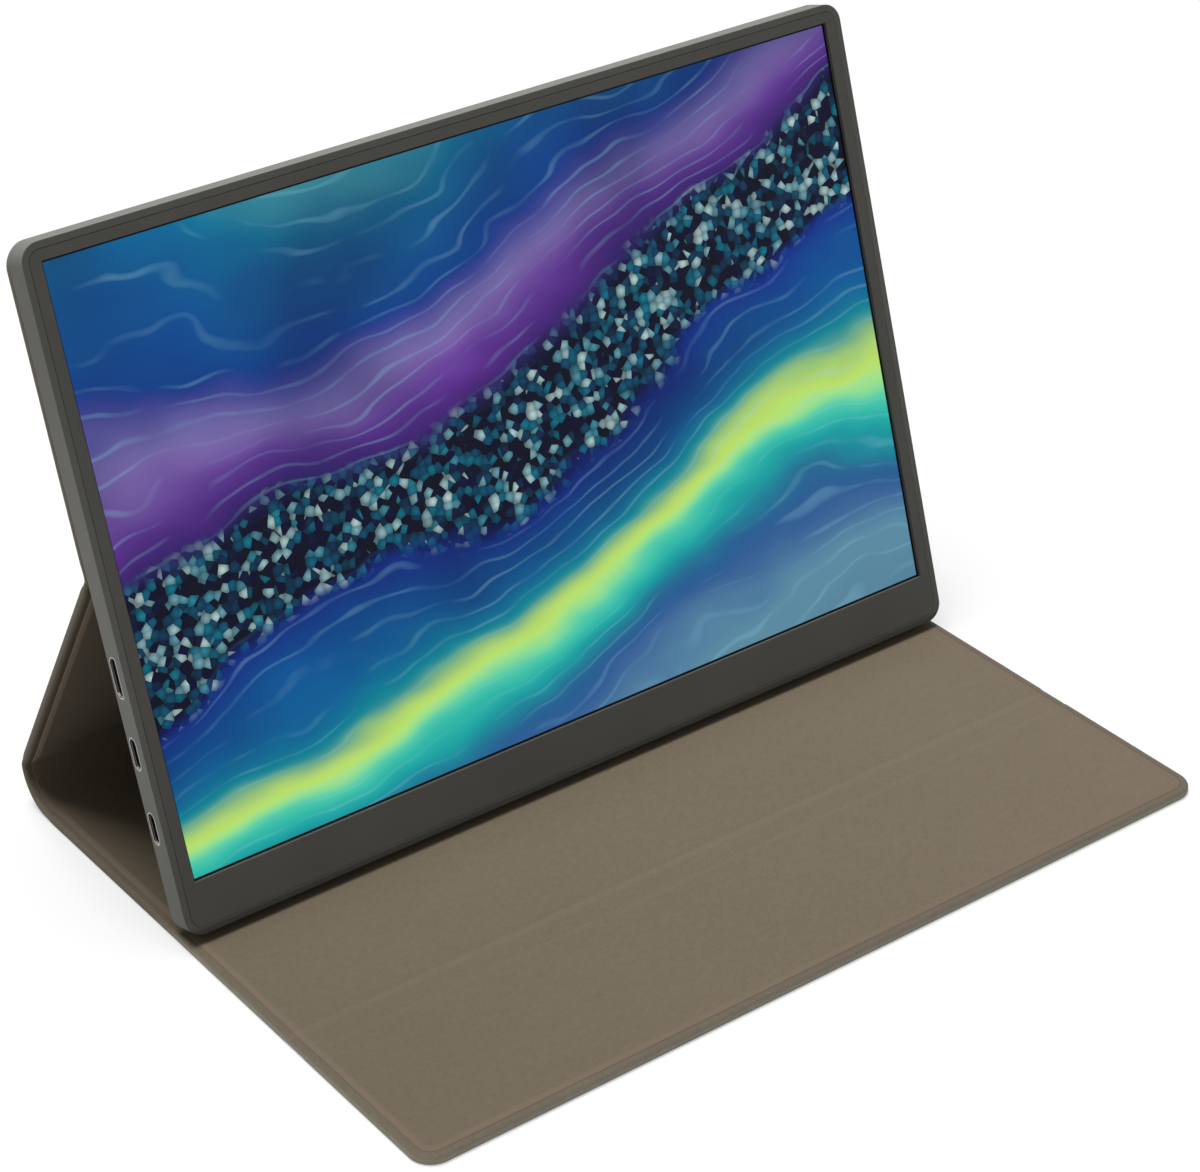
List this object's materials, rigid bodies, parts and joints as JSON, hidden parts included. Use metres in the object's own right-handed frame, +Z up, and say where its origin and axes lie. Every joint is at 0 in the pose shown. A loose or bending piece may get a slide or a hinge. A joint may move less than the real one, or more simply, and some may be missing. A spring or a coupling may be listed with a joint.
{
  "type": "portable monitor with folding cover",
  "caption": "Thin flat portable monitor held on a soft cover that folds under and behind it as a leaning stand, with side ports, keys and a front flap.",
  "frame": {"origin": "on the table, below the middle of the monitor's front bottom edge, on the underside of the cover's base", "axes": "+X across to the viewer's right, +Y from the screen's face to the back, +Z up"},
  "size_m": [0.2715, 0.2061, 0.1905],
  "materials": {
    "shell": "fine matte",
    "bezel": "satin",
    "black_parts": "matte",
    "display_glass": "anti-glare",
    "clear_sheets": "satin",
    "white_sheet": "matte",
    "steel": "brushed",
    "bright_metal": "polished",
    "magnet": "plated",
    "circuit_board": "solder mask",
    "flex_film": "film",
    "cover_skin": "matte, fine grain",
    "cover_lining": "short soft nap",
    "stiffener": "pressed board"
  },
  "bodies": {
    "base": {"base_skin": "cover_skin", "base_board": "stiffener", "base_lining": "cover_lining", "foot_magnets": "magnet"},
    "front_flap": {"flap_skin": "cover_skin", "flap_board": "stiffener", "flap_lining": "cover_lining", "flap_magnets": "magnet"},
    "spine": {"spine_skin": "cover_skin", "spine_board": "stiffener", "spine_lining": "cover_lining"},
    "strut": {"strut_skin": "cover_skin", "strut_board": "stiffener", "strut_lining": "cover_lining"},
    "monitor": {"rear_shell": "shell", "front_bezel": "bezel", "bezel_tape": "black_parts", "lcd_cell": "display_glass", "optical_films": "clear_sheets", "light_guide": "clear_sheets", "reflector_sheet": "white_sheet", "led_strip": "white_sheet", "panel_tray": "steel", "panel_driver_board": "circuit_board", "panel_flexes": "flex_film", "panel_ribbon": "flex_film", "controller_board": "circuit_board", "board_chips": "black_parts", "board_screws": "steel", "mini_hdmi_socket": "steel", "usb_c_socket_upper": "steel", "usb_c_socket_lower": "steel", "port_rims": "bright_metal", "audio_jack": "black_parts", "key_board": "circuit_board", "key_switches": "steel", "key_cable": "flex_film", "rocker_pin": "steel", "speaker_left": "black_parts", "speaker_right": "black_parts", "foot_strip": "steel", "catch_magnets": "magnet", "holding_plate": "steel", "back_panel_skin": "cover_skin", "back_panel_board": "stiffener", "back_panel_lining": "cover_lining", "back_panel_magnets": "magnet"},
    "power_button": {"power_button": "shell"},
    "menu_rocker": {"menu_rocker": "shell"}
  },
  "joints": [
    {"name": "flap_fold", "type": "hinge", "parent": "base", "child": "front_flap", "pos_m": [0, -0.05126, 0.0019], "axis": [-1, 0, 0], "range_deg": [0, 150]},
    {"name": "stand_fold", "type": "hinge", "parent": "base", "child": "spine", "pos_m": [0, 0.08675, 0.0013], "axis": [-1, 0, 0], "range_deg": [0, 59.44]},
    {"name": "strut_fold", "type": "hinge", "parent": "spine", "child": "strut", "pos_m": [0, 0.09354, 0.0128], "axis": [-1, 0, 0], "range_deg": [-0.05, 62.53]},
    {"name": "back_fold", "type": "hinge", "parent": "strut", "child": "monitor", "pos_m": [0, 0.03972, 0.09921], "axis": [-1, 0, 0], "range_deg": [-48.96, 0.05]},
    {"name": "power_press", "type": "slide", "parent": "monitor", "child": "power_button", "axis": [-1, 0, 0], "range_m": [0, 0.0004], "stiffness_N_per_m": 1500, "springref_m": -0.0002},
    {"name": "rocker_tip", "type": "hinge", "parent": "monitor", "child": "menu_rocker", "pos_m": [0.1332, 0.03274, 0.09382], "axis": [0, 0.9563, -0.2924], "range_deg": [-2.5, 2.5], "stiffness_Nm_per_rad": 0.12}
  ],
  "couplings": [
    {"joint": "strut_fold", "follows": "stand_fold", "ratio": 1.0512},
    {"joint": "back_fold", "follows": "stand_fold", "ratio": -0.82297}
  ]
}
